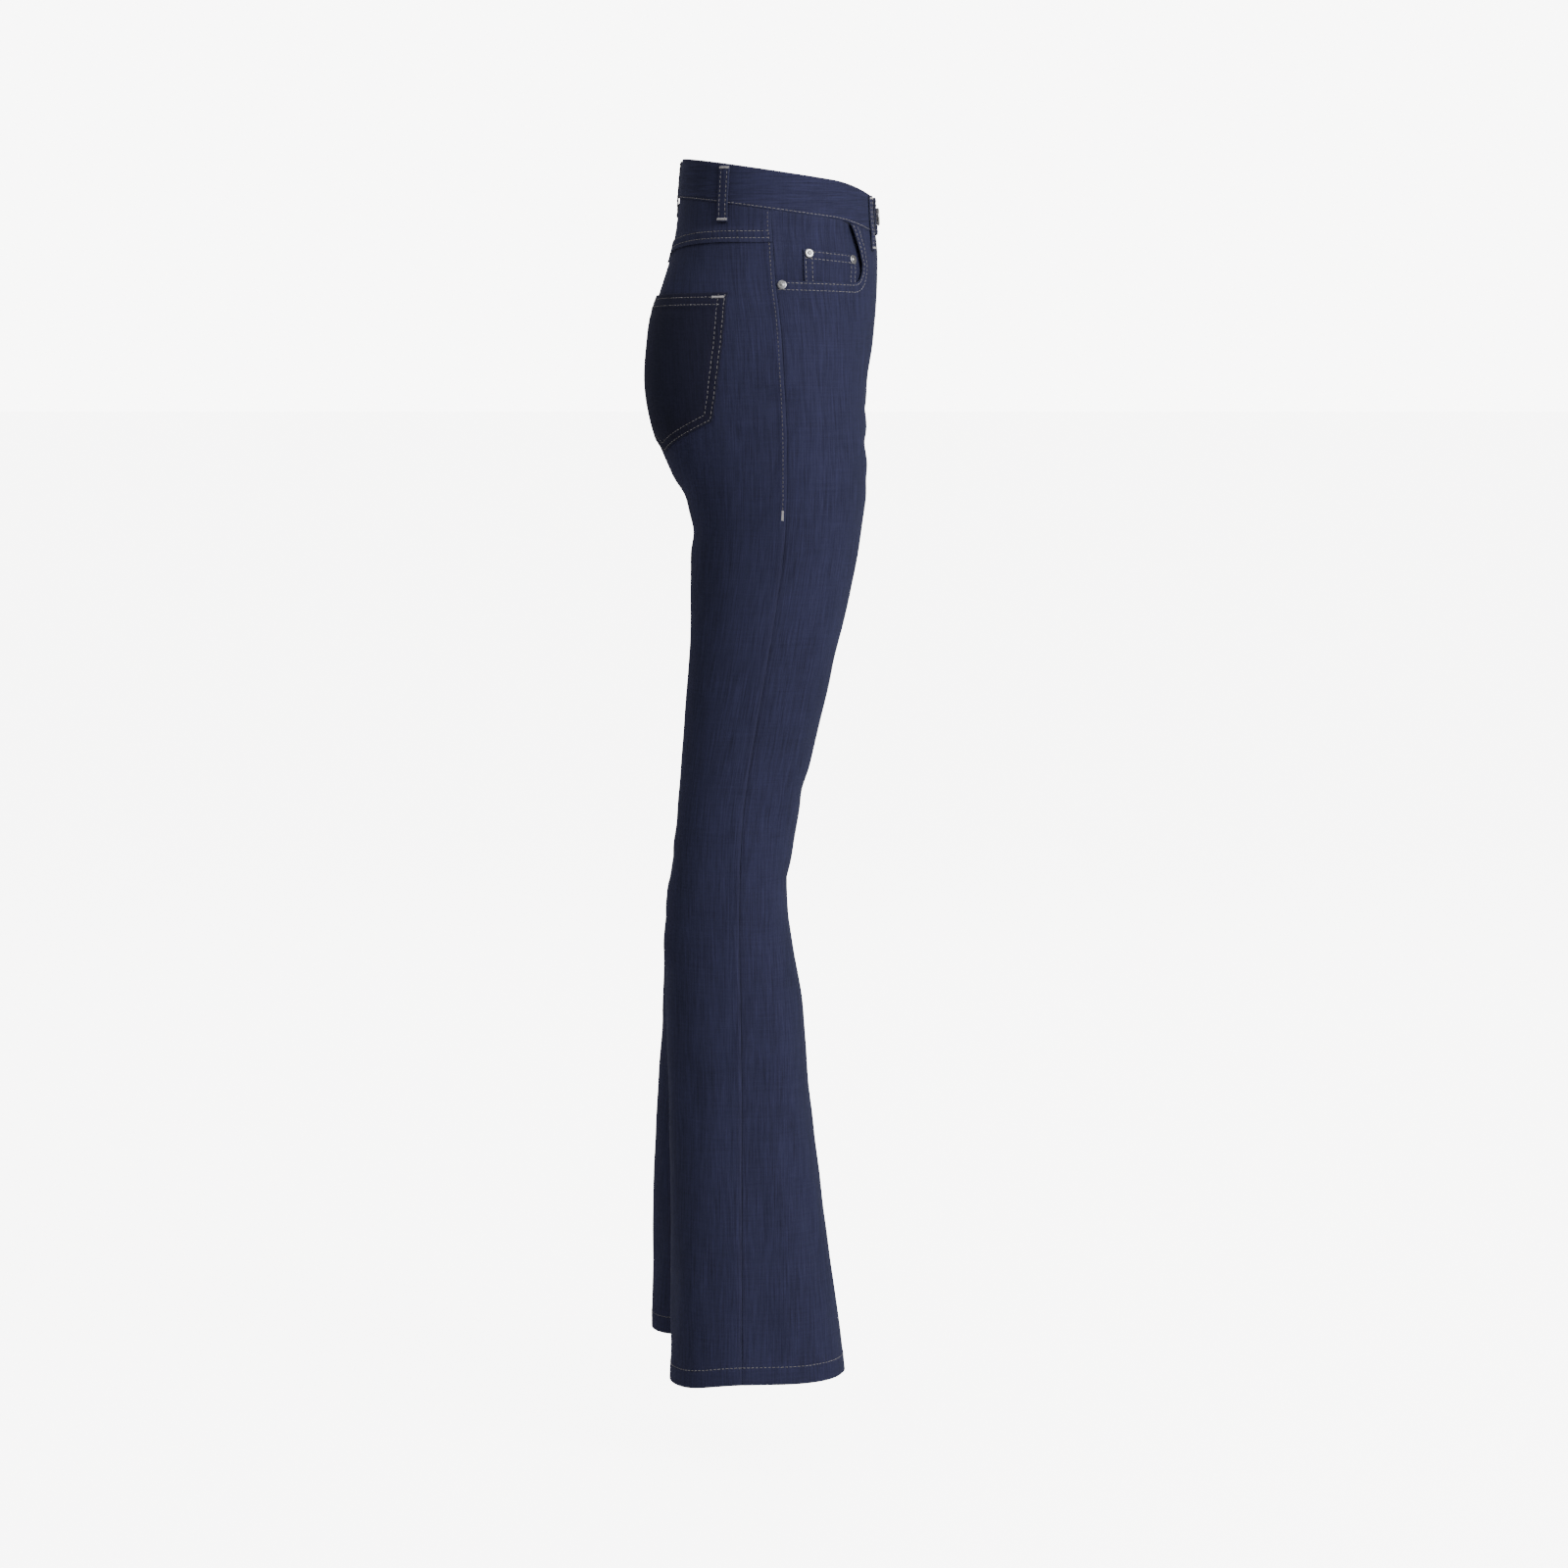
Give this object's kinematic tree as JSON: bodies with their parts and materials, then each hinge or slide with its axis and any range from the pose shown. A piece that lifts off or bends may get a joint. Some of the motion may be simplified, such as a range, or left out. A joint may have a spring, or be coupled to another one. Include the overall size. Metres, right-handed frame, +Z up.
{
  "type": "bootcut jeans",
  "caption": "Worn high-rise bootcut jeans in dark indigo denim, hollow, with scoop front pockets, coin pocket, pointed back pockets, yoke and belt loops.",
  "frame": {"origin": "the middle of the waist, half way up the waistband, where the wearer holds the jeans up", "axes": "+Z up; the front of the jeans faces -Y; the wearer's right side is at -X"},
  "size_m": [0.3526, 0.2181, 1.1261],
  "materials": {
    "indigo_denim": "dark rinse twill denim, matte, muted tan-grey topstitching",
    "deep_indigo_denim": "darker rinse denim of the pockets, matte",
    "zip_tape": "navy woven zip tape",
    "topstitch_thread": "thick polyester topstitching thread, muted tan-grey, slightly glossy",
    "brushed_nickel": "brushed nickel, slightly dull"
  },
  "bodies": {
    "root": {"back_panel_left": "indigo_denim", "back_panel_right": "indigo_denim", "back_pocket_left": "deep_indigo_denim", "back_pocket_right": "deep_indigo_denim", "belt_loop_back": "indigo_denim", "belt_loop_front_left": "indigo_denim", "belt_loop_front_right": "indigo_denim", "belt_loop_side_left": "indigo_denim", "belt_loop_side_right": "indigo_denim", "coin_pocket": "indigo_denim", "fly_shield": "indigo_denim", "front_panel_left": "indigo_denim", "front_panel_right": "indigo_denim", "front_pocket_facing_left": "indigo_denim", "front_pocket_facing_right": "indigo_denim", "hem_turn_up_left": "indigo_denim", "hem_turn_up_right": "indigo_denim", "rivet_coin_inner": "brushed_nickel", "rivet_coin_outer": "brushed_nickel", "rivet_scoop_left": "brushed_nickel", "rivet_scoop_right": "brushed_nickel", "waist_button": "brushed_nickel", "waistband": "indigo_denim", "yoke_left": "indigo_denim", "yoke_right": "indigo_denim", "zip_slider": "brushed_nickel", "zip_tape": "zip_tape"}
  },
  "joints": []
}
